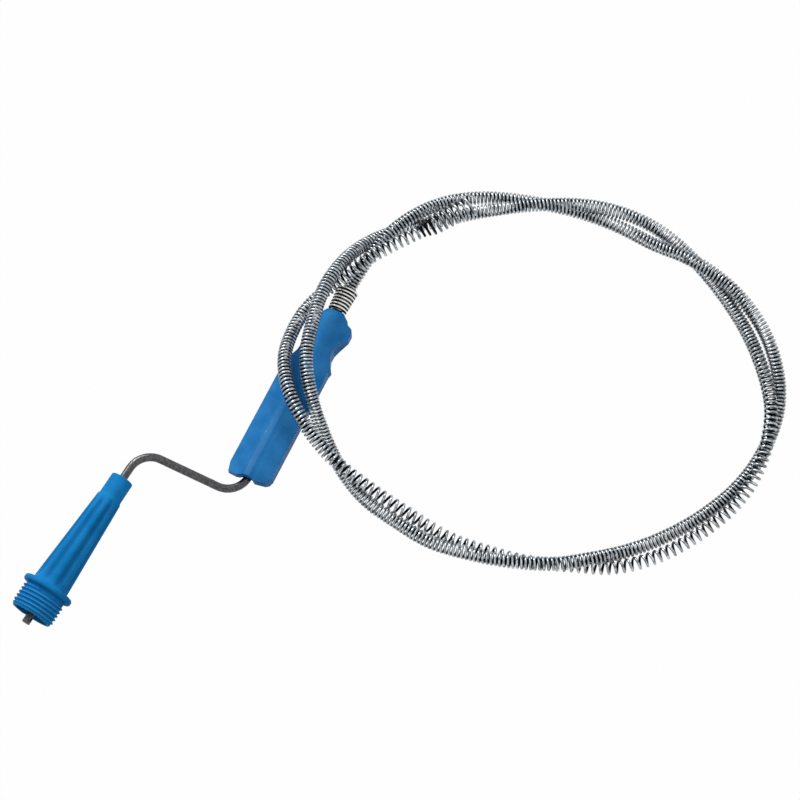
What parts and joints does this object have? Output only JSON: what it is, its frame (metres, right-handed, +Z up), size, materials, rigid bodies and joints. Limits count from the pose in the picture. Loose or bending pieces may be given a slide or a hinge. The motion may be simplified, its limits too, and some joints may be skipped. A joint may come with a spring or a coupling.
{
  "type": "drain auger",
  "caption": "Hand-cranked drain auger: two-shell grip, cranked rod with a ribbed handle, and a wound wire cable lying in a loop with a widened coil tip.",
  "frame": {"origin": "on the grip's flat rest face, under the barrel line, near the grip's middle", "axes": "+Z up, +Y along the barrel line towards the end that the cable leaves, +X to the side where the loop lies"},
  "size_m": [0.3646, 0.3995, 0.0362],
  "materials": {
    "blue_plastic": "satin moulded",
    "pale_plastic": "plain moulded",
    "zinc_steel": "zinc plated",
    "black_steel": "black oxide",
    "plain_steel": "drawn, oiled",
    "spring_wire": "bright zinc plated wire"
  },
  "bodies": {
    "grip": {"grip_lower_shell": "blue_plastic", "grip_upper_shell": "blue_plastic", "lower_bush": "pale_plastic", "upper_bush": "pale_plastic", "lower_thrust_washer": "zinc_steel", "upper_thrust_washer": "zinc_steel", "relief_spring": "black_steel", "cable": "spring_wire", "auger_tip": "spring_wire"},
    "crank": {"crank_rod": "plain_steel", "thrust_collar": "zinc_steel", "collar_pin": "zinc_steel", "coupling_sleeve": "zinc_steel", "sleeve_screw_1": "black_steel", "sleeve_screw_2": "black_steel", "end_washer": "zinc_steel", "retaining_ring": "zinc_steel"},
    "handle": {"crank_handle": "blue_plastic"}
  },
  "joints": [
    {"name": "crank_turn", "type": "hinge", "parent": "grip", "child": "crank", "pos_m": [0, 0, 0.0095], "axis": [0, 1, 0], "continuous": true},
    {"name": "handle_turn", "type": "hinge", "parent": "crank", "child": "handle", "pos_m": [-0.06376, -0.0745, 0.01505], "axis": [-0.0868, -0.9962, 0.0076], "continuous": true}
  ]
}
